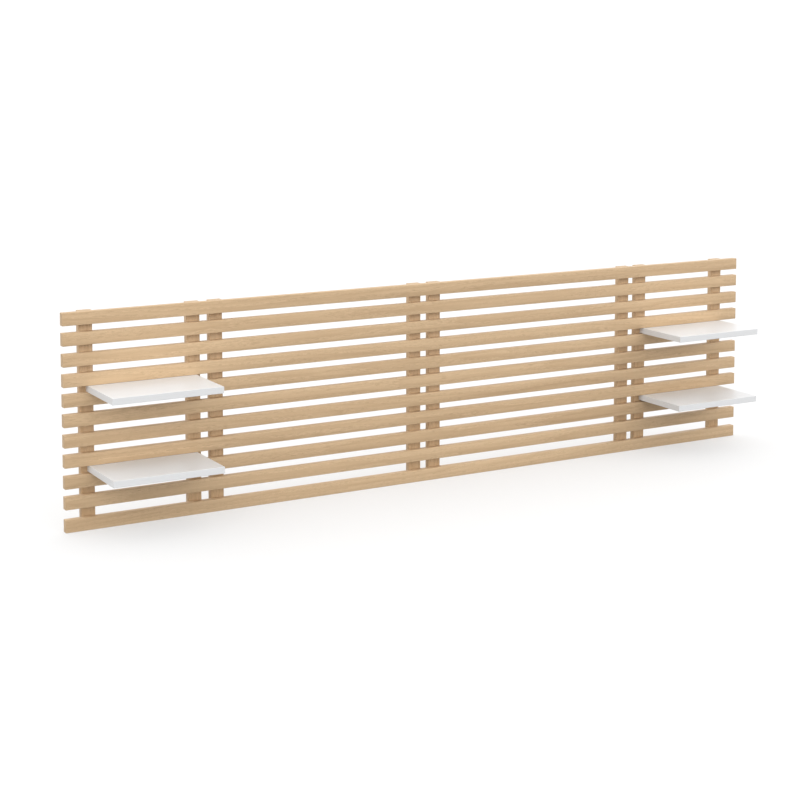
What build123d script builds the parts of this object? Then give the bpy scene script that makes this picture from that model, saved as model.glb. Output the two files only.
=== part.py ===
from build123d import *
from math import copysign, cos, pi
import os

# Slatted oak headboard with four small white shelves, hung on the wall by keyhole plates.
# Millimetres. X runs along the slats with zero at mid-width, Y points from the room to the wall
# with zero on the wall face, and Z points up with zero at mid-height.

os.makedirs("parts", exist_ok=True)

# Slats, counted from the top
width = 2400.0
slat_height = 36.5
slat_thick = 20.0
wood_ease = 0.8  # the small chamfer on the long edges of slats and battens

# Shelves
shelf_thick = 19.0
shelf_play = 1.0  # what the plain gap has over the shelf's thickness
shelf_drop = 0.3  # from the slat above down to a shelf's top
shelf_reach = 195.0  # how far a shelf stands out in front of the slats
shelf_lap = 22.0  # how far each end of a shelf lies in front of its batten
shelf_ease = 0.8  # the small chamfer on the shelf's showing edges

# Gaps between one slat and the next, from the top down, as shares of the plain gap
plain_gap = shelf_thick + shelf_play
gap_shares = (1.015, 1.115, 1.04, 0.985, 1.005, 1.055, 1.015, 1.165, 1.10, 1.43)
gap_shelves = ("", "", "", "upper", "", "", "", "lower", "", "")  # the shelves that stand in them

# Battens, counted from the left
batten_width = 40.5
batten_thick = 20.0
end_inset = 52.5  # from the slats' ends to the outer battens
shelf_bay = 282.5  # clear width between the two battens that carry a shelf
pair_gap = 30.0  # clear width between the two battens of a pair
middle_shift = 31.5  # how far the middle pair stands left of mid-width

# Slat screws, driven from behind, one where each batten crosses each slat
slat_screw_d = 4.0
slat_screw_head_d = 8.0
slat_bite_share = 0.75  # of the slat's thickness

# Shelf screws, driven from behind, one in each end of a shelf
shelf_screw_d = 5.0
shelf_screw_head_d = 10.0
shelf_screw_bite = 40.0

# Keyhole plates, let into the backs of the battens that carry shelves
plate_length = 40.0
plate_width = 17.0
plate_thick = 2.0
plate_corner = 3.0  # clipped off each corner
plate_sink = 0.3  # how far the plate lies below the batten's back
entry_d = 9.5  # lets the wall screw's head in
slot_width = 4.6  # holds the wall screw's shank
slot_travel = 12.0  # from the entry's centre up to the centre of the slot's round end
hollow_width = 12.0  # the room behind the plate for the wall screw's head
hollow_depth = 8.0
plate_screw_d = 3.0
plate_screw_head_d = 5.6
plate_screw_inset = 4.6  # from the plate's ends
plate_screw_bite = 10.0  # into the wood below the plate

# Screws and their holes are many, so they are drawn with six flat sides in place of round ones
screw_sides = 6
head_rim = 0.3  # the straight edge around a countersunk head, above its taper

# Seats and clearances
head_play = 0.1  # around a countersunk head
thread_play = 0.05  # around a screw's body in the wood that it holds
clear_play = 0.25  # around a screw's body in what it passes through
tip_room = 0.5  # past a screw's point
pocket_play = 0.2  # around a keyhole plate
overrun = 1.0  # how far a cut runs past the face that it opens

# Heights of the slats, and the whole height that they add up to
gaps = [plain_gap * share for share in gap_shares]
height = slat_height * (len(gaps) + 1) + sum(gaps)
slat_tops = [height / 2]
for gap in gaps:
    slat_tops.append(slat_tops[-1] - slat_height - gap)
slat_middles = [top - slat_height / 2 for top in slat_tops]
slat_bite = slat_thick * slat_bite_share

# Faces between the layers, from the wall to the room
slat_back = -batten_thick
slat_front = slat_back - slat_thick
shelf_front = slat_front - shelf_reach

# Centres of the battens: the outer ones, the inner ones beside each bay, and the pairs
outer_centre = width / 2 - end_inset - batten_width / 2
inner_centre = outer_centre - batten_width - shelf_bay
pair_step = batten_width + pair_gap
batten_places = [
    -outer_centre,
    -inner_centre,
    -inner_centre + pair_step,
    -middle_shift - pair_step / 2,
    -middle_shift + pair_step / 2,
    inner_centre - pair_step,
    inner_centre,
    outer_centre,
]
batten_bays = ("left", "left", "", "", "", "", "right", "right")  # whose shelves each one carries

# Shelves fill the bays and lap onto the battens beside them, with a screw mid-lap
shelf_width = shelf_bay + 2 * shelf_lap
bay_centre = (outer_centre + inner_centre) / 2
bays = {"left": -bay_centre, "right": bay_centre}
lap_reach = (shelf_bay + shelf_lap) / 2
lap_places = {
    number: bays[side] + copysign(lap_reach, x - bays[side])
    for number, (x, side) in enumerate(zip(batten_places, batten_bays), start=1)
    if side
}
shelf_tops = {
    level: slat_top - slat_height - shelf_drop
    for slat_top, level in zip(slat_tops, gap_shelves)
    if level
}

# Keyhole plates hang midway between the screws of the two highest slats
plate_middle = (slat_middles[0] + slat_middles[1]) / 2
plate_floor = plate_sink + plate_thick
plate_screw_reach = plate_length / 2 - plate_screw_inset
plate_screw_heights = (plate_middle - plate_screw_reach, plate_middle + plate_screw_reach)


def wall_side(x, depth, z):
    """A plane that looks at the wall, with its own y axis up, so deep below the wall face."""
    return Plane(origin=(x, -depth, z), x_dir=(-1, 0, 0), z_dir=(0, 1, 0))


def keep(part, name):
    part.label = name
    export_step(part, f"parts/{name}.step")


def flat_radius(d):
    """The distance from the axis to a flat side, for a screw or hole that is d over its corners."""
    return d / 2 * cos(pi / screw_sides)


def countersunk_screw(body_d, head_d, length):
    """A plain screw with its head's face up at the origin and its body down."""
    taper = flat_radius(head_d) - flat_radius(body_d)
    with BuildPart() as screw:
        with BuildSketch(Plane.XY):
            RegularPolygon(head_d / 2, screw_sides)
        extrude(amount=-(head_rim + taper))
        chamfer(screw.faces().sort_by(Axis.Z)[0].edges(), taper)
        extrude(screw.faces().sort_by(Axis.Z)[0], length - head_rim - taper)
    return screw.part


def drill(places, hole_d, depth):
    """Cuts holes into the part being built, from each place away from the wall."""
    with BuildSketch(*places) as hole:
        RegularPolygon(hole_d / 2, screw_sides)
    extrude(hole.sketch, -depth, mode=Mode.SUBTRACT)


def countersink(builder, places, body_d, head_d, depth):
    """Cuts clearance holes and widens their rims into seats for countersunk heads."""
    passage_d = body_d + 2 * clear_play
    drill(places, passage_d, depth)
    rims = builder.edges(Select.LAST).group_by(Axis.Y)[-1]
    chamfer(rims, flat_radius(head_d) + head_rim + head_play - flat_radius(passage_d))


# Places of the screw heads
slat_screw_places = {
    number: [wall_side(x, 0, middle) for middle in slat_middles]
    for number, x in enumerate(batten_places, start=1)
}
shelf_screw_places = {
    (number, level): wall_side(x, 0, top - shelf_thick / 2)
    for number, x in lap_places.items()
    for level, top in shelf_tops.items()
}
plate_screw_places = {
    number: [wall_side(batten_places[number - 1], plate_sink, z) for z in plate_screw_heights]
    for number in lap_places
}

# Slats
for number, middle in enumerate(slat_middles, start=1):
    slat_end = Plane(
        origin=(-width / 2, (slat_back + slat_front) / 2, middle), x_dir=(0, 1, 0), z_dir=(1, 0, 0)
    )
    with BuildPart() as slat:
        with BuildSketch(slat_end) as section:
            Rectangle(slat_thick, slat_height)
            chamfer(section.vertices(), wood_ease)
        extrude(amount=width)
        screw_places = [wall_side(x, batten_thick, middle) for x in batten_places]
        drill(screw_places, slat_screw_d + 2 * thread_play, slat_bite + tip_room)
    keep(slat.part, f"slat_{number}")

# Battens
for number, x in enumerate(batten_places, start=1):
    with BuildPart() as batten:
        with BuildSketch(Plane(origin=(x, slat_back / 2, -height / 2))) as section:
            Rectangle(batten_width, batten_thick)
            chamfer(section.vertices(), wood_ease)
        extrude(amount=height)
        through = batten_thick + overrun
        screw_places = slat_screw_places[number]
        countersink(batten, screw_places, slat_screw_d, slat_screw_head_d, through)
        if number in lap_places:
            screw_places = [shelf_screw_places[number, level] for level in shelf_tops]
            countersink(batten, screw_places, shelf_screw_d, shelf_screw_head_d, through)
            # The plate's recess, the hollow behind its keyhole, and its screws' holes
            with BuildSketch(wall_side(x, 0, plate_middle)):
                Rectangle(plate_width + 2 * pocket_play, plate_length + 2 * pocket_play)
            extrude(amount=-plate_floor, mode=Mode.SUBTRACT)
            with BuildSketch(wall_side(x, plate_floor, plate_middle)):
                SlotCenterToCenter(slot_travel, hollow_width, 90)
            extrude(amount=-hollow_depth, mode=Mode.SUBTRACT)
            screw_places = [wall_side(x, plate_floor, z) for z in plate_screw_heights]
            drill(screw_places, plate_screw_d + 2 * thread_play, plate_screw_bite + tip_room)
    keep(batten.part, f"batten_{number}")

# Shelves, eased on every edge but those of the back edge, which butts on the battens
for side, centre in bays.items():
    for level, top in shelf_tops.items():
        shelf_base = Plane(origin=(centre, (slat_back + shelf_front) / 2, top - shelf_thick))
        with BuildPart() as shelf:
            with BuildSketch(shelf_base):
                Rectangle(shelf_width, slat_back - shelf_front)
            extrude(amount=shelf_thick)
            back = shelf.faces().sort_by(Axis.Y)[-1]
            chamfer(shelf.edges() - back.edges(), shelf_ease)
            laps = (centre - lap_reach, centre + lap_reach)
            screw_places = [wall_side(x, batten_thick, top - shelf_thick / 2) for x in laps]
            drill(screw_places, shelf_screw_d + 2 * thread_play, shelf_screw_bite + tip_room)
        keep(shelf.part, f"{level}_{side}_shelf")

# Keyhole plates: a wall screw's head goes in at the round entry and its shank up the slot
for number in lap_places:
    with BuildPart() as plate:
        plate_base = wall_side(batten_places[number - 1], plate_floor, plate_middle)
        with BuildSketch(plate_base) as outline:
            Rectangle(plate_width, plate_length)
            chamfer(outline.vertices(), plate_corner)
            SlotCenterToCenter(slot_travel, slot_width, 90, mode=Mode.SUBTRACT)
            with Locations((0, -slot_travel / 2)):
                Circle(entry_d / 2, mode=Mode.SUBTRACT)
        extrude(amount=plate_thick)
        screw_places = plate_screw_places[number]
        through = plate_thick + overrun
        countersink(plate, screw_places, plate_screw_d, plate_screw_head_d, through)
    keep(plate.part, f"keyhole_plate_{number}")

# Slat screws, a set for each batten
slat_screw = countersunk_screw(slat_screw_d, slat_screw_head_d, batten_thick + slat_bite)
for number, places in slat_screw_places.items():
    with BuildPart() as slat_screws:
        with Locations(*places):
            add(slat_screw)
    keep(slat_screws.part, f"slat_screws_{number}")

# Shelf screws, a pair for each shelf
shelf_screw = countersunk_screw(
    shelf_screw_d, shelf_screw_head_d, batten_thick + shelf_screw_bite
)
for side in bays:
    carriers = [number for number, bay in enumerate(batten_bays, start=1) if bay == side]
    for level in shelf_tops:
        with BuildPart() as shelf_screws:
            with Locations(*[shelf_screw_places[number, level] for number in carriers]):
                add(shelf_screw)
        keep(shelf_screws.part, f"{level}_{side}_shelf_screws")

# Keyhole plate screws, all in one set
plate_screw = countersunk_screw(
    plate_screw_d, plate_screw_head_d, plate_thick + plate_screw_bite
)
with BuildPart() as plate_screws:
    for places in plate_screw_places.values():
        with Locations(*places):
            add(plate_screw)
keep(plate_screws.part, "keyhole_plate_screws")
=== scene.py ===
import math
import bmesh
import bpy
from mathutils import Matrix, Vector


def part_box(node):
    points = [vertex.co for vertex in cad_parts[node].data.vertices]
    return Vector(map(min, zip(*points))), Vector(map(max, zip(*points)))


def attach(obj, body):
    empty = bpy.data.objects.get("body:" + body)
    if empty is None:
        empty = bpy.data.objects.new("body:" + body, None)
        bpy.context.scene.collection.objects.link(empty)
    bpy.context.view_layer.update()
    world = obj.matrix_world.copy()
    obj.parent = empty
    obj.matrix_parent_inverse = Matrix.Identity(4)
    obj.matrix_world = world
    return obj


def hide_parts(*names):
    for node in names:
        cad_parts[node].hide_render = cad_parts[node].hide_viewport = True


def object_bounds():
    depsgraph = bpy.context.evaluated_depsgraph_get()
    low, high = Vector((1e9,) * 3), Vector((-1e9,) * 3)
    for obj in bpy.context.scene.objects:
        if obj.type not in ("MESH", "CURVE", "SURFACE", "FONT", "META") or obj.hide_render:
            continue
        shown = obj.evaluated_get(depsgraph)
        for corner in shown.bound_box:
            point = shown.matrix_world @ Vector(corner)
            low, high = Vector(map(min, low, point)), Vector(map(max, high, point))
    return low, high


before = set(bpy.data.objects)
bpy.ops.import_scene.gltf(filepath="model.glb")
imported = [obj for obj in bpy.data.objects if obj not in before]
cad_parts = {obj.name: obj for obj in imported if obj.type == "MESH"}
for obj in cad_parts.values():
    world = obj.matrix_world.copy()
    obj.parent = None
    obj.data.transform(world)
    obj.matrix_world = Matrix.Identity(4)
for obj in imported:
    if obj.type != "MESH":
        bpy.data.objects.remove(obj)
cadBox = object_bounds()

battenNumbers = range(1, 9)
slatNumbers = range(1, 12)
shelfNames = ["upper_left_shelf", "lower_left_shelf", "upper_right_shelf", "lower_right_shelf"]
plateNumbers = [1, 2, 7, 8]
print("frame loaded,", len(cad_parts), "nodes")


# a node's output that can be written into sums, in materials and in geometry trees alike
class Wire:
    def __init__(self, tree, socket):
        self.tree = tree
        self.socket = socket

    def work(self, operation, *values):
        settings = {"operation": operation}
        return addNode(self.tree, "ShaderNodeMath", settings, dict(enumerate(values)))

    def __add__(self, other):
        return self.work("ADD", self, other)

    def __radd__(self, other):
        return self.work("ADD", other, self)

    def __sub__(self, other):
        return self.work("SUBTRACT", self, other)

    def __rsub__(self, other):
        return self.work("SUBTRACT", other, self)

    def __mul__(self, other):
        return self.work("MULTIPLY", self, other)

    def __rmul__(self, other):
        return self.work("MULTIPLY", other, self)

    def __truediv__(self, other):
        return self.work("DIVIDE", self, other)

    def __pow__(self, other):
        return self.work("POWER", self, other)

    def __mod__(self, other):
        return self.work("FLOORED_MODULO", self, other)

    def __gt__(self, other):
        return self.work("GREATER_THAN", self, other)

    def __lt__(self, other):
        return self.work("LESS_THAN", self, other)

    def __abs__(self):
        return self.work("ABSOLUTE", self)


# settings come first, because some of them change which sockets a node has
def addNode(tree, kind, settings=None, values=None, out=0):
    made = tree.nodes.new(kind)
    for key, value in (settings or {}).items():
        if key == "stops":
            ramp = made.color_ramp
            while len(ramp.elements) < len(value):
                ramp.elements.new(1)
            for element, (place, colour) in zip(ramp.elements, value):
                element.position = place
                element.color = (*colour, 1)
        else:
            setattr(made, key, value)
    for key, value in (values or {}).items():
        socket = made.inputs[key]
        for each in value if isinstance(value, list) else [value]:
            if isinstance(each, Wire):
                tree.links.new(each.socket, socket)
            else:
                socket.default_value = each
    if isinstance(out, tuple):
        return [Wire(tree, made.outputs[each]) for each in out]
    return Wire(tree, made.outputs[out])


def newMaterial(name):
    material = bpy.data.materials.new(name)
    material.use_nodes = True
    material.node_tree.nodes.clear()
    return material


def finishMaterial(material, values):
    shader = addNode(material.node_tree, "ShaderNodeBsdfPrincipled", None, values)
    addNode(material.node_tree, "ShaderNodeOutputMaterial", None, {"Surface": shader}, out=())
    return material


def blendColours(tree, share, first, second):
    return addNode(tree, "ShaderNodeMix", {"data_type": "RGBA"}, {
        0: share, 6: first, 7: second,
    }, out=2)


def addNoise(tree, place, scale, detail):
    return addNode(tree, "ShaderNodeTexNoise", None, {
        "Vector": place, "Scale": scale, "Detail": detail,
    }, out="Fac")


def addBump(tree, strength, reach, height):
    return addNode(tree, "ShaderNodeBump", None, {
        "Strength": strength, "Distance": reach, "Height": height,
    }, out="Normal")


# oak, sawn from round logs: growth rings round a pith, with pores and fibres along the board
oak = {
    "light": (0.650, 0.463, 0.279, 1),
    "dark": (0.464, 0.309, 0.172, 1),
    "pore": (0.300, 0.185, 0.095, 1),
    "tone": 0.285,  # how dark it is on average, from 0 to 1
    "pithDepth": 0.030,  # the nearest that the pith lies behind a board's middle
    "pithRange": 0.035,  # how much deeper it lies in some boards
    "pithSpread": 0.045,  # how far to a side
    "pithSlope": 0.024,
    "pithWander": 0.030,
    "ringWidth": 0.0042,
    "ringWobble": 0.5,  # in rings
    "ringShare": 0.42,
    "lateMiddle": 0.35,  # the amount of late wood that leaves the tone as it is
    "earlyWidth": 0.4,  # the share of a ring that most pores lie in
    "bandScale": 0.31,
    "bandShift": 97,
    "bandShare": 0.30,  # groups of dark years
    "streakShare": 0.85,
    "broadShare": 0.35,
    "fibreShare": 0.35,
    "poreLevel": 0.58,  # noise above this is a pore
    "lateWoodPores": 0.3,  # beside 1 in early wood
    "poreShare": 0.55,
    "boardShare": 0.08,  # how much one board differs from the next
    "depthShift": 0.37,  # a board's shift into the noise's depth, beside the one along it
    "rayLevel": 0.72,
    "rayShare": 0.20,  # pale flecks where the board is cut towards the pith
    "endFacing": 0.7,  # a face that looks along the board by more than this is end grain
    "endShare": 0.12,
    "roughness": 0.55,
    "roughnessRange": 0.2,
    "reflection": 0.35,
    "fibreHeight": 0.5,
    "poreDip": 0.8,
    "bump": 0.35,
    "bumpReach": 0.0004,
}

# noise drawn out along the board: its scale along it and across it, its detail, its shift by board
oakNoise = {
    "wander": (1.3, 4, 2, 61),
    "wanderDeep": (1.0, 3, 2, 37),
    "fibre": (9, 700, 3, 23),
    "wobble": (14, 260, 2, 83),
    "pores": (55, 2400, 1, 91),
    "streak": (2.4, 110, 3, 47),
    "broad": (1.5, 16, 1, 13),
    "rays": (55, 330, 1, 67),
}


def makeOak(name, lengthways):
    material = newMaterial(name)
    tree = material.node_tree
    place = addNode(tree, "ShaderNodeTexCoord", out="Object")
    middle = addNode(tree, "ShaderNodeAttribute", {"attribute_name": "middle"}, out="Vector")
    board = addNode(tree, "ShaderNodeAttribute", {"attribute_name": "board"}, out="Fac")
    local = addNode(tree, "ShaderNodeVectorMath", {"operation": "SUBTRACT"}, {0: place, 1: middle})
    x, deep, z = addNode(tree, "ShaderNodeSeparateXYZ", None, {0: local}, out=("X", "Y", "Z"))
    along, across = (x, z) if lengthways == "X" else (z, x)

    # a number from 0 to 1 of each board's own, another one for each step
    def chance(step):
        return (board * step) % 1

    # noise that is drawn out along the board, different on every board
    def grain(kind):
        alongScale, acrossScale, detail, shift = oakNoise[kind]
        spot = addNode(tree, "ShaderNodeCombineXYZ", None, {
            0: along * alongScale + board * shift,
            1: across * acrossScale,
            2: deep * acrossScale + board * shift * oak["depthShift"],
        })
        return addNoise(tree, spot, 1, detail)

    # the pith lies behind the board, at a slope, and the tree wanders along its length
    wander = grain("wander") - 0.5
    wanderDeep = grain("wanderDeep") - 0.5
    pithAcross = across + (chance(731) - 0.5) * oak["pithSpread"] + wander * oak["pithWander"]
    pithDeep = (
        deep - oak["pithDepth"] - chance(377) * oak["pithRange"]
        + (chance(213) - 0.5) * along * oak["pithSlope"]
        + wanderDeep * oak["pithWander"]
    )
    radius = (pithAcross * pithAcross + pithDeep * pithDeep) ** 0.5
    fibre = grain("fibre")
    years = radius / oak["ringWidth"] + (grain("wobble") - 0.5) * oak["ringWobble"]
    ring = years % 1
    lateWood = ring ** 2
    band = addNode(tree, "ShaderNodeTexNoise", {"noise_dimensions": "1D"}, {
        "W": years * oak["bandScale"] + board * oak["bandShift"], "Scale": 1, "Detail": 1,
    }, out="Fac")
    pores = grain("pores") > oak["poreLevel"]
    earlyWood = ring < oak["earlyWidth"]
    streak = grain("streak")
    broad = grain("broad")
    rays = grain("rays") > oak["rayLevel"]

    tone = (
        oak["tone"]
        + (lateWood - oak["lateMiddle"]) * oak["ringShare"]
        + (band - 0.5) * oak["bandShare"] * 2
        + (streak - 0.5) * oak["streakShare"]
        + (fibre - 0.5) * oak["fibreShare"]
        + (broad - 0.5) * oak["broadShare"]
        + (chance(513) - 0.5) * oak["boardShare"]
        - rays * oak["rayShare"]
    )
    wood = blendColours(tree, tone, oak["light"], oak["dark"])
    poreSpread = oak["lateWoodPores"] + earlyWood * (1 - oak["lateWoodPores"])
    poreMask = pores * poreSpread * oak["poreShare"]
    wood = blendColours(tree, poreMask, wood, oak["pore"])
    facing = addNode(tree, "ShaderNodeNewGeometry", out="Normal")
    faceX, faceZ = addNode(tree, "ShaderNodeSeparateXYZ", None, {0: facing}, out=("X", "Z"))
    endGrain = abs(faceX if lengthways == "X" else faceZ) > oak["endFacing"]
    wood = blendColours(tree, endGrain * oak["endShare"], wood, oak["pore"])
    relief = fibre * oak["fibreHeight"] - poreMask * oak["poreDip"]
    return finishMaterial(material, {
        "Base Color": wood,
        "Roughness": oak["roughness"] + (fibre - 0.5) * oak["roughnessRange"],
        "Specular IOR Level": oak["reflection"],
        "Normal": addBump(tree, oak["bump"], oak["bumpReach"], relief),
    })


slatOak = makeOak("slatOak", "X")
battenOak = makeOak("battenOak", "Z")
print("oak made")


# white shelf board and zinc-plated steel: noise under the start leaves their plain colour
whiteBoard = {
    "colour": (0.742, 0.750, 0.758, 1), "shade": (0.712, 0.718, 0.724, 1),
    "cloudScale": 9, "cloudStart": 0.35, "cloudShare": 0.8, "peelScale": 900, "detail": 2,
    "roughness": 0.34, "roughnessRange": 0.12, "bump": 0.12, "bumpReach": 0.0002,
}
zinc = {
    "colour": (0.70, 0.71, 0.73, 1), "shade": (0.52, 0.53, 0.56, 1),
    "spangleScale": 420, "spangleStart": 0.3, "spangleShare": 1.4,
    "brushScale": (4000, 4000, 220), "detail": 2,
    "roughness": 0.36, "roughnessRange": 0.25, "bump": 0.15, "bumpReach": 0.0001,
}


def makeWhiteBoard():
    material = newMaterial("whiteBoard")
    tree = material.node_tree
    place = addNode(tree, "ShaderNodeTexCoord", out="Object")
    cloud = addNoise(tree, place, whiteBoard["cloudScale"], whiteBoard["detail"])
    peel = addNoise(tree, place, whiteBoard["peelScale"], whiteBoard["detail"])
    shading = (cloud - whiteBoard["cloudStart"]) * whiteBoard["cloudShare"]
    return finishMaterial(material, {
        "Base Color": blendColours(tree, shading, whiteBoard["colour"], whiteBoard["shade"]),
        "Roughness": whiteBoard["roughness"] + (cloud - 0.5) * whiteBoard["roughnessRange"],
        "Normal": addBump(tree, whiteBoard["bump"], whiteBoard["bumpReach"], peel),
    })


def makeZinc():
    material = newMaterial("zincSteel")
    tree = material.node_tree
    place = addNode(tree, "ShaderNodeTexCoord", out="Object")
    spangle = addNoise(tree, place, zinc["spangleScale"], zinc["detail"])
    shading = (spangle - zinc["spangleStart"]) * zinc["spangleShare"]
    drawnOut = addNode(tree, "ShaderNodeVectorMath", {"operation": "MULTIPLY"}, {
        0: place, 1: zinc["brushScale"],
    })
    brush = addNoise(tree, drawnOut, 1, zinc["detail"])
    return finishMaterial(material, {
        "Base Color": blendColours(tree, shading, zinc["colour"], zinc["shade"]),
        "Metallic": 1,
        "Roughness": zinc["roughness"] + (brush - 0.5) * zinc["roughnessRange"],
        "Normal": addBump(tree, zinc["bump"], zinc["bumpReach"], brush),
    })


shelfWhite = makeWhiteBoard()
zincSteel = makeZinc()
print("white board and steel made")


# how finely boards are rounded and cut
making = {
    "easeSteps": 3,  # flats that round a board's long edge
    "cutterSides": 32,
    "mergeDistance": 0.000002,  # corners nearer than this after a cut are one
}


# a geometry tree takes points and sizes, and gives one mesh
def newTree(name, sizes):
    tree = bpy.data.node_groups.new(name, "GeometryNodeTree")
    tree.interface.new_socket("Geometry", in_out="INPUT", socket_type="NodeSocketGeometry")
    for size in sizes:
        kind = "NodeSocketInt" if size == "Seed" else "NodeSocketFloat"
        tree.interface.new_socket(size, in_out="INPUT", socket_type=kind)
    tree.interface.new_socket("Geometry", in_out="OUTPUT", socket_type="NodeSocketGeometry")
    source = tree.nodes.new("NodeGroupInput")
    return tree, {socket.name: Wire(tree, socket) for socket in source.outputs if socket.name}


def finishTree(tree, shape, material):
    real = addNode(tree, "GeometryNodeRealizeInstances", None, {0: shape})
    dressed = addNode(tree, "GeometryNodeSetMaterial", None, {0: real, "Material": material})
    addNode(tree, "NodeGroupOutput", None, {0: dressed}, out=())


def growPiece(name, tree, points, sizes, jobs=None):
    cloud = bpy.data.meshes.new(name + "Points")
    cloud.from_pydata(points, [], [])
    marks = cloud.attributes.new("job", "INT", "POINT")
    marks.data.foreach_set("value", jobs or [0] * len(points))
    carrier = bpy.data.objects.new(name + "Carrier", cloud)
    bpy.context.scene.collection.objects.link(carrier)
    grower = carrier.modifiers.new("grower", "NODES")
    grower.node_group = tree
    for item in tree.interface.items_tree:
        if item.in_out == "INPUT" and item.name in sizes:
            grower[item.identifier] = sizes[item.name]
    depsgraph = bpy.context.evaluated_depsgraph_get()
    grown = bpy.data.meshes.new_from_object(carrier.evaluated_get(depsgraph))
    carrier.modifiers.remove(grower)
    bpy.data.objects.remove(carrier)
    grown.name = name
    piece = bpy.data.objects.new(name, grown)
    bpy.context.scene.collection.objects.link(piece)
    return piece


def addChance(tree, seed, highest=1):
    return addNode(tree, "FunctionNodeRandomValue", {"data_type": "FLOAT"}, {
        3: highest, "Seed": seed,
    }, out=1)


def onJob(tree, job):
    marked = addNode(tree, "GeometryNodeInputNamedAttribute", {"data_type": "INT"}, {0: "job"})
    return abs(marked - job) < 0.5


# a curve through four points, placed by sums that may use their index
def addRail(tree, across=0, out=0):
    rail = addNode(tree, "GeometryNodeMeshLine", None, {"Count": 4})
    rail = addNode(tree, "GeometryNodeSetPosition", None, {
        0: rail, "Position": addNode(tree, "ShaderNodeCombineXYZ", None, {0: across, 2: out}),
    })
    return addNode(tree, "GeometryNodeMeshToCurve", None, {0: rail})


# a straight board along X with soft long edges and slightly smaller ends
def addBoard(tree, length, height, thick, ease, endEase):
    # four rings: each end has one at its face, and one inside it where the full section starts
    index = addNode(tree, "GeometryNodeInputIndex")
    isEnd = (index < 0.5) + (index > 2.5)
    side = (index > 1.5) * 2 - 1
    rail = addRail(tree, across=side * (length * 0.5 - (1 - isEnd) * endEase))
    rail = addNode(tree, "GeometryNodeSetCurveNormal", {"mode": "Z_UP"}, {0: rail})
    section = addNode(tree, "GeometryNodeCurvePrimitiveQuadrilateral", None, {
        "Width": thick, "Height": height,
    })
    section = addNode(tree, "GeometryNodeFilletCurve", {"mode": "POLY"}, {
        0: section, "Count": making["easeSteps"], "Radius": ease,
    })
    return addNode(tree, "GeometryNodeCurveToMesh", None, {
        "Curve": rail, "Profile Curve": section, "Fill Caps": True,
        "Scale": 1 - isEnd * endEase / (height * 0.5),
    })


# cutters: Z points out of the wood, and Y runs along it once the shape is turned to the wall
def addShift(tree, shape, across=0, up=0, out=0):
    shift = addNode(tree, "ShaderNodeCombineXYZ", None, {0: across, 1: up, 2: out})
    return addNode(tree, "GeometryNodeTransform", None, {0: shape, "Translation": shift})


def addBox(tree, wide, tall, top, bottom):
    size = addNode(tree, "ShaderNodeCombineXYZ", None, {0: wide, 1: tall, 2: top - bottom})
    cube = addNode(tree, "GeometryNodeMeshCube", None, {"Size": size})
    return addShift(tree, cube, out=(top + bottom) * 0.5)


def addRound(tree, diameter, up, top, bottom):
    barrel = addNode(tree, "GeometryNodeMeshCylinder", None, {
        "Vertices": making["cutterSides"], "Radius": diameter * 0.5, "Depth": top - bottom,
    })
    return addShift(tree, barrel, up=up, out=(top + bottom) * 0.5)


# three shapes that overlap to an upright slot with round ends
def addSlot(tree, wide, travel, top, bottom):
    return [
        addBox(tree, wide, travel, top, bottom),
        addRound(tree, wide, travel * 0.5, top, bottom),
        addRound(tree, wide, travel * -0.5, top, bottom),
    ]


# a cone whose point is as deep as its mouth is wide, with its mouth past the face
def addSeat(tree, seat, over):
    cone = addNode(tree, "GeometryNodeMeshCone", None, {
        "Vertices": making["cutterSides"], "Radius Top": seat + over, "Radius Bottom": 0,
        "Depth": seat + over,
    })
    return addShift(tree, cone, out=0 - seat)


def placeOn(tree, spots, job, shape, turn):
    placed = addNode(tree, "GeometryNodeInstanceOnPoints", None, {
        "Points": spots, "Selection": onJob(tree, job), "Instance": shape, "Rotation": turn,
    })
    return addNode(tree, "GeometryNodeRealizeInstances", None, {0: placed})


def addTurn(tree, x, y=0, z=0):
    turn = addNode(tree, "ShaderNodeCombineXYZ", None, {0: x, 1: y, 2: z})
    return addNode(tree, "FunctionNodeEulerToRotation", None, {0: turn})


def cutAway(tree, shape, cutters):
    settings = {"operation": "DIFFERENCE", "solver": "MANIFOLD"}
    cut = addNode(tree, "GeometryNodeMeshBoolean", settings, {0: shape, 1: cutters})
    return addNode(tree, "GeometryNodeMergeByDistance", None, {
        0: cut, "Distance": making["mergeDistance"],
    })


# slats
slats = {"edgeEase": 0.0010, "endEase": 0.0006, "seed": 11}

slatBoxes = [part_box(f"slat_{number}") for number in slatNumbers]
low, high = slatBoxes[0]
slatSizes = {
    "Length": high.x - low.x, "Height": high.z - low.z, "Thickness": high.y - low.y,
    "Edge Ease": slats["edgeEase"], "End Ease": slats["endEase"], "Seed": slats["seed"],
}
tree, given = newTree("slatTree", slatSizes)
board = addBoard(
    tree, given["Length"], given["Height"], given["Thickness"],
    given["Edge Ease"], given["End Ease"],
)
here = addNode(tree, "GeometryNodeInputPosition")
chance = addChance(tree, given["Seed"])
spots = addNode(tree, "GeometryNodeStoreNamedAttribute", {"data_type": "FLOAT_VECTOR"}, {
    "Geometry": given["Geometry"], "Name": "middle", "Value": here,
})
spots = addNode(tree, "GeometryNodeStoreNamedAttribute", {"data_type": "FLOAT"}, {
    "Geometry": spots, "Name": "board", "Value": chance,
})
rows = addNode(tree, "GeometryNodeInstanceOnPoints", None, {"Points": spots, "Instance": board})
finishTree(tree, rows, slatOak)
oakSlats = growPiece("oakSlats", tree, [(low + high) / 2 for low, high in slatBoxes], slatSizes)
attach(oakSlats, "root")
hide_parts(*[f"slat_{number}" for number in slatNumbers])
print("slats made")


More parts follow.
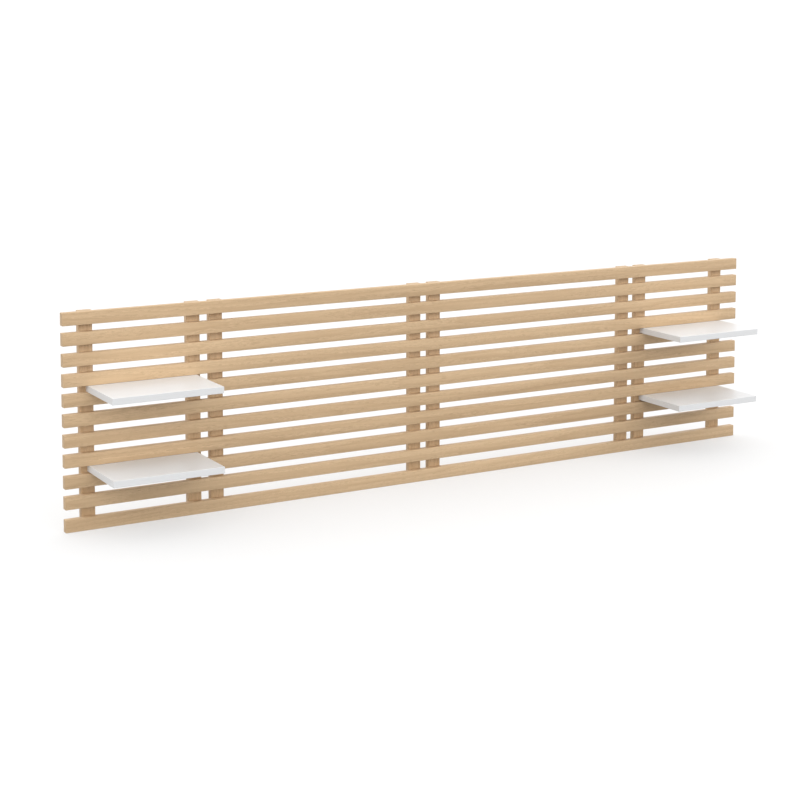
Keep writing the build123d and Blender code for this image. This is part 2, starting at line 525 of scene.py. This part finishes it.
# battens, with the seats of the screws and the recesses of the hanger plates
battens = {
    "edgeEase": 0.0010, "endEase": 0.0006, "seatPlay": 0.00025, "recessDepth": 0.0023,
    "recessPlay": 0.0002, "hollowWidth": 0.012, "hollowTravel": 0.012, "hollowDepth": 0.008,
    "overrun": 0.001,  # how far the cutters stand out of the wood
    "seed": 5,
}
slatScrew = {"head": 0.0080, "body": 0.0040, "length": 0.035}
shelfScrew = {"head": 0.0100, "body": 0.0050, "length": 0.060}
plateScrew = {"head": 0.0056, "body": 0.0030, "length": 0.012}
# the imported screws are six-sided: a flat is this much nearer to the middle than a corner
flatShare = math.cos(math.pi / 6)

battenBoxes = [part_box(f"batten_{number}") for number in battenNumbers]
plateBoxes = [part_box(f"keyhole_plate_{number}") for number in plateNumbers]
battenMiddles = [(low + high) / 2 for low, high in battenBoxes]
plateMiddles = [(low + high) / 2 for low, high in plateBoxes]
wallFace = battenBoxes[0][1].y

slatScrewSpots = [
    (spot.x, wallFace, (low.z + high.z) / 2) for spot in battenMiddles for low, high in slatBoxes
]
shelfScrewSpots = []
for name in shelfNames:
    low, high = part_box(name + "_screws")
    reach = (high.z - low.z) / 2 / flatShare
    for x in (low.x + reach, high.x - reach):
        shelfScrewSpots.append((x, wallFace, (low.z + high.z) / 2))

low, high = battenBoxes[0]
plateLow, plateHigh = plateBoxes[0]
battenSizes = {
    "Height": high.z - low.z, "Width": high.x - low.x, "Thickness": high.y - low.y,
    "Edge Ease": battens["edgeEase"], "End Ease": battens["endEase"],
    "Slat Seat": slatScrew["head"] / 2 + battens["seatPlay"],
    "Shelf Seat": shelfScrew["head"] / 2 + battens["seatPlay"],
    "Recess Width": plateHigh.x - plateLow.x + battens["recessPlay"] * 2,
    "Recess Height": plateHigh.z - plateLow.z + battens["recessPlay"] * 2,
    "Recess Depth": battens["recessDepth"],
    "Hollow Width": battens["hollowWidth"], "Hollow Travel": battens["hollowTravel"],
    "Hollow Depth": battens["hollowDepth"], "Overrun": battens["overrun"], "Seed": battens["seed"],
}
tree, given = newTree("battenTree", battenSizes)
board = addBoard(
    tree, given["Height"], given["Width"], given["Thickness"],
    given["Edge Ease"], given["End Ease"],
)
toWall = addTurn(tree, -math.pi / 2)
spots, over = given["Geometry"], given["Overrun"]
bed = 0 - given["Recess Depth"]
recess = addBox(tree, given["Recess Width"], given["Recess Height"], over, bed)
hollow = addSlot(  # from halfway down the recess, so that the two overlap
    tree, given["Hollow Width"], given["Hollow Travel"], bed * 0.5, bed - given["Hollow Depth"],
)
cut = cutAway(tree, placeOn(tree, spots, 0, board, addTurn(tree, 0, -math.pi / 2)), [
    placeOn(tree, spots, 1, addSeat(tree, given["Slat Seat"], over), toWall),
    placeOn(tree, spots, 2, addSeat(tree, given["Shelf Seat"], over), toWall),
    *[placeOn(tree, spots, 3, shape, toWall) for shape in (recess, *hollow)],
])
# every corner learns which batten it belongs to from its place across the wall
here = addNode(tree, "GeometryNodeInputPosition")
x, y, z = addNode(tree, "ShaderNodeSeparateXYZ", None, {0: here}, out=("X", "Y", "Z"))
core = battenMiddles[0]
uprights = addNode(tree, "GeometryNodeSeparateGeometry", None, {0: spots, 1: onJob(tree, 0)})
nearest = addNode(tree, "GeometryNodeSampleNearest", None, {
    0: uprights, 1: addNode(tree, "ShaderNodeCombineXYZ", None, {0: x, 1: core.y, 2: core.z}),
})
chance = addChance(tree, given["Seed"])
for label, kind, value in (("middle", "FLOAT_VECTOR", here), ("board", "FLOAT", chance)):
    found = addNode(tree, "GeometryNodeSampleIndex", {"data_type": kind}, {
        0: uprights, 1: value, 2: nearest,
    })
    cut = addNode(tree, "GeometryNodeStoreNamedAttribute", {"data_type": kind}, {
        "Geometry": cut, "Name": label, "Value": found,
    })
finishTree(tree, cut, battenOak)
plateSpots = [(spot.x, wallFace, spot.z) for spot in plateMiddles]
points = [*battenMiddles, *slatScrewSpots, *shelfScrewSpots, *plateSpots]
# each point's job: 0 a batten, 1 a slat screw's seat, 2 a shelf screw's seat, 3 a hanger's recess
jobs = [0] * len(battenMiddles) + [1] * len(slatScrewSpots)
jobs += [2] * len(shelfScrewSpots) + [3] * len(plateSpots)
oakBattens = growPiece("oakBattens", tree, points, battenSizes, jobs)
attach(oakBattens, "root")
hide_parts(*[f"batten_{number}" for number in battenNumbers])
print("battens made,", len(oakBattens.data.polygons), "faces")


# shelves: boards with softly broken edges
shelves = {"edgeEase": 0.0009, "segments": 3}

for name in shelfNames:
    low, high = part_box(name)
    shape = bmesh.new()
    bmesh.ops.create_cube(shape, size=1)
    for corner in shape.verts:
        corner.co = [(a + b) / 2 + at * (b - a) for a, b, at in zip(low, high, corner.co)]
    bmesh.ops.bevel(
        shape, geom=shape.edges[:], offset=shelves["edgeEase"], segments=shelves["segments"],
        profile=0.5, affect="EDGES",
    )
    mesh = bpy.data.meshes.new(name + "Board")
    shape.to_mesh(mesh)
    shape.free()
    mesh.materials.append(shelfWhite)
    piece = bpy.data.objects.new(name + "_board", mesh)
    bpy.context.scene.collection.objects.link(piece)
    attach(piece, "root")
    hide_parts(name)
print("shelves made")


# screws: countersunk heads with a cross recess, each turned its own way
screws = {  # all but the sides are shares of the head's width
    "recessWidth": 0.16, "recessReach": 0.62, "recessDepth": 0.24, "tip": 0.5, "point": 0.03,
    "sides": 24,
}

screwInputs = [
    "Head", "Body", "Length", "Tip", "Point",
    "Recess Width", "Recess Reach", "Recess Depth", "Seed",
]
tree, given = newTree("screwTree", screwInputs)
head = given["Head"]
taper = (head - given["Body"]) * 0.5
tip = head * given["Tip"]
index = addNode(tree, "GeometryNodeInputIndex")
atBody, atTip, atPoint = index > 0.5, index > 1.5, index > 2.5
shank = given["Length"] - taper - tip
rail = addRail(tree, out=0 - atBody * taper - atTip * shank - atPoint * tip)
circle = addNode(tree, "GeometryNodeCurvePrimitiveCircle", None, {
    "Resolution": screws["sides"], "Radius": head * 0.5,
})
body = given["Body"] / head
whole = addNode(tree, "GeometryNodeCurveToMesh", None, {
    "Curve": rail, "Profile Curve": circle, "Fill Caps": True,
    "Scale": 1 - atBody * (1 - body) - atPoint * (body - given["Point"]),
})
wide, reach, deep = [head * given["Recess " + each] for each in ("Width", "Reach", "Depth")]
whole = cutAway(tree, whole, [
    addBox(tree, reach, wide, deep, 0 - deep), addBox(tree, wide, reach, deep, 0 - deep),
])
spin = addTurn(tree, -math.pi / 2, addChance(tree, given["Seed"], math.tau))
placed = addNode(tree, "GeometryNodeInstanceOnPoints", None, {
    "Points": given["Geometry"], "Instance": whole, "Rotation": spin,
})
finishTree(tree, placed, zincSteel)

plateScrewSpots = []
screwLow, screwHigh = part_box("keyhole_plate_screws")
reach = plateScrew["head"] / 2 * flatShare  # from the box's end to the head's middle
for spot in plateMiddles:
    for z in (screwLow.z + reach, screwHigh.z - reach):
        plateScrewSpots.append((spot.x, plateHigh.y, z))
screwSets = [
    ("slatScrews", slatScrew, slatScrewSpots, [f"slat_screws_{each}" for each in battenNumbers]),
    ("shelfScrews", shelfScrew, shelfScrewSpots, [name + "_screws" for name in shelfNames]),
    ("plateScrews", plateScrew, plateScrewSpots, ["keyhole_plate_screws"]),
]
for seed, (name, kind, spots, replaced) in enumerate(screwSets):
    piece = growPiece(name, tree, spots, {
        "Head": kind["head"], "Body": kind["body"], "Length": kind["length"],
        "Tip": screws["tip"], "Point": screws["point"],
        "Recess Width": screws["recessWidth"], "Recess Reach": screws["recessReach"],
        "Recess Depth": screws["recessDepth"], "Seed": seed,
    })
    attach(piece, "root")
    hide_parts(*replaced)
print("screws made")


# hanger plates: clipped corners, a keyhole with its wide end below, and two countersunk seats
plates = {
    "corner": 0.003, "slotWidth": 0.0046, "slotTravel": 0.012, "entry": 0.0095,
    "seatPlay": 0.00015, "holePlay": 0.0001, "overrun": 0.001,
}

plateSizes = {
    "Width": plateHigh.x - plateLow.x, "Height": plateHigh.z - plateLow.z,
    "Thickness": plateHigh.y - plateLow.y, "Corner": plates["corner"],
    "Slot Width": plates["slotWidth"], "Slot Travel": plates["slotTravel"],
    "Entry": plates["entry"],
    "Seat": plateScrew["head"] / 2 + plates["seatPlay"],
    "Hole": plateScrew["body"] + plates["holePlay"] * 2,
    "Seat Reach": plateScrewSpots[1][2] - plateMiddles[0].z, "Overrun": plates["overrun"],
}
tree, given = newTree("plateTree", plateSizes)
over, reach = given["Overrun"], given["Seat Reach"]
under = 0 - given["Thickness"] - over
corners = addNode(tree, "GeometryNodeMeshGrid", None, {
    "Size X": given["Width"], "Size Y": given["Height"], "Vertices X": 2, "Vertices Y": 2,
}, out="Mesh")
clipSide = given["Corner"] * math.sqrt(2)
clip = addBox(tree, clipSide, clipSide, over, under)
clips = addNode(tree, "GeometryNodeInstanceOnPoints", None, {
    "Points": corners, "Instance": clip, "Rotation": addTurn(tree, 0, 0, math.pi / 4),
})
seat = addSeat(tree, given["Seat"], over)
plate = cutAway(tree, addBox(tree, given["Width"], given["Height"], 0, 0 - given["Thickness"]), [
    addNode(tree, "GeometryNodeRealizeInstances", None, {0: clips}),
    *addSlot(tree, given["Slot Width"], given["Slot Travel"], over, under),
    addRound(tree, given["Entry"], given["Slot Travel"] * 0.5, over, under),
    addShift(tree, seat, up=reach), addShift(tree, seat, up=0 - reach),
    addRound(tree, given["Hole"], reach, over, under),
    addRound(tree, given["Hole"], 0 - reach, over, under),
])
rows = addNode(tree, "GeometryNodeInstanceOnPoints", None, {
    "Points": given["Geometry"], "Instance": plate, "Rotation": addTurn(tree, -math.pi / 2),
})
finishTree(tree, rows, zincSteel)
points = [(spot.x, plateHigh.y, spot.z) for spot in plateMiddles]
hangerPlates = growPiece("hangerPlates", tree, points, plateSizes)
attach(hangerPlates, "root")
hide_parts(*[f"keyhole_plate_{number}" for number in plateNumbers])
print("hanger plates made")


# floor, light and camera
studio = {
    "floor": (0.40, 0.40, 0.40, 1), "floorRoughness": 0.9, "floorSize": 400,
    "floorGlow": 0.48,  # as a pale table that is lit through
    "sky": 1.33, "underSky": 0.235,  # little light comes from below
    "horizon": (-0.10, -0.05),  # the heights between which one turns into the other
    "frontLight": 0.33, "frontTilt": 75, "frontSoftness": 50, "frontDistance": 5,
    "sideLight": 8.4, "sideSize": 1.4, "sidePlace": (3.0, -1.6, 1.6),
    "place": (-2.68036, -4.54428, 1.06408), "turn": 29.510, "tilt": 5.410,
    "sensor": 36, "lens": 76.829, "shift": -0.25, "sight": 100,
}

floorMaterial = finishMaterial(newMaterial("paleFloor"), {
    "Base Color": studio["floor"], "Roughness": studio["floorRoughness"],
    "Emission Color": (1, 1, 1, 1), "Emission Strength": studio["floorGlow"],
})
half = studio["floorSize"] / 2
foot = cadBox[0].z
floorMesh = bpy.data.meshes.new("floor")
floorMesh.from_pydata([
    (-half, -half, foot), (half, -half, foot), (half, half, foot), (-half, half, foot),
], [], [(0, 1, 2, 3)])
floorMesh.materials.append(floorMaterial)
floorPlane = bpy.data.objects.new("floor", floorMesh)
bpy.context.scene.collection.objects.link(floorPlane)
floorPlane.visible_diffuse = False
floorPlane.visible_shadow = False

world = bpy.data.worlds.new("studioSky")
world.use_nodes = True
tree = world.node_tree
tree.nodes.clear()
way = addNode(tree, "ShaderNodeTexCoord", out="Generated")
height = addNode(tree, "ShaderNodeSeparateXYZ", None, {0: way}, out="Z")
glow = addNode(tree, "ShaderNodeMapRange", None, {
    "Value": height, "From Min": studio["horizon"][0], "From Max": studio["horizon"][1],
    "To Min": studio["underSky"], "To Max": studio["sky"],
})
sky = addNode(tree, "ShaderNodeBackground", None, {"Color": (1, 1, 1, 1), "Strength": glow})
addNode(tree, "ShaderNodeOutputWorld", None, {"Surface": sky}, out=())
bpy.context.scene.world = world
bpy.context.scene.view_settings.view_transform = "Standard"


# a lamp that shines at the middle of the headboard
def addLight(name, kind, power, place, settings):
    lamp = bpy.data.lights.new(name, kind)
    lamp.energy = power
    for key, value in settings.items():
        setattr(lamp, key, value)
    light = bpy.data.objects.new(name, lamp)
    light.location = place
    light.rotation_euler = (-Vector(place)).to_track_quat("-Z", "Y").to_euler()
    bpy.context.scene.collection.objects.link(light)


tilt, away = math.radians(studio["frontTilt"]), studio["frontDistance"]
frontPlace = (0, -away * math.sin(tilt), away * math.cos(tilt))
addLight("frontLight", "SUN", studio["frontLight"], frontPlace, {
    "angle": math.radians(studio["frontSoftness"]),
})
right, front, high = studio["sidePlace"]
for name, side in (("leftLight", -right), ("rightLight", right)):
    addLight(name, "AREA", studio["sideLight"], (side, front, high), {"size": studio["sideSize"]})

lens = bpy.data.cameras.new("photoCamera")
lens.sensor_width = studio["sensor"]
lens.lens = studio["lens"]
lens.shift_y = studio["shift"]
lens.clip_end = studio["sight"]
camera = bpy.data.objects.new("photoCamera", lens)
camera.location = studio["place"]
camera.rotation_euler = (math.radians(90 - studio["tilt"]), 0, math.radians(-studio["turn"]))
bpy.context.scene.collection.objects.link(camera)
bpy.context.scene.camera = camera
print("studio set")
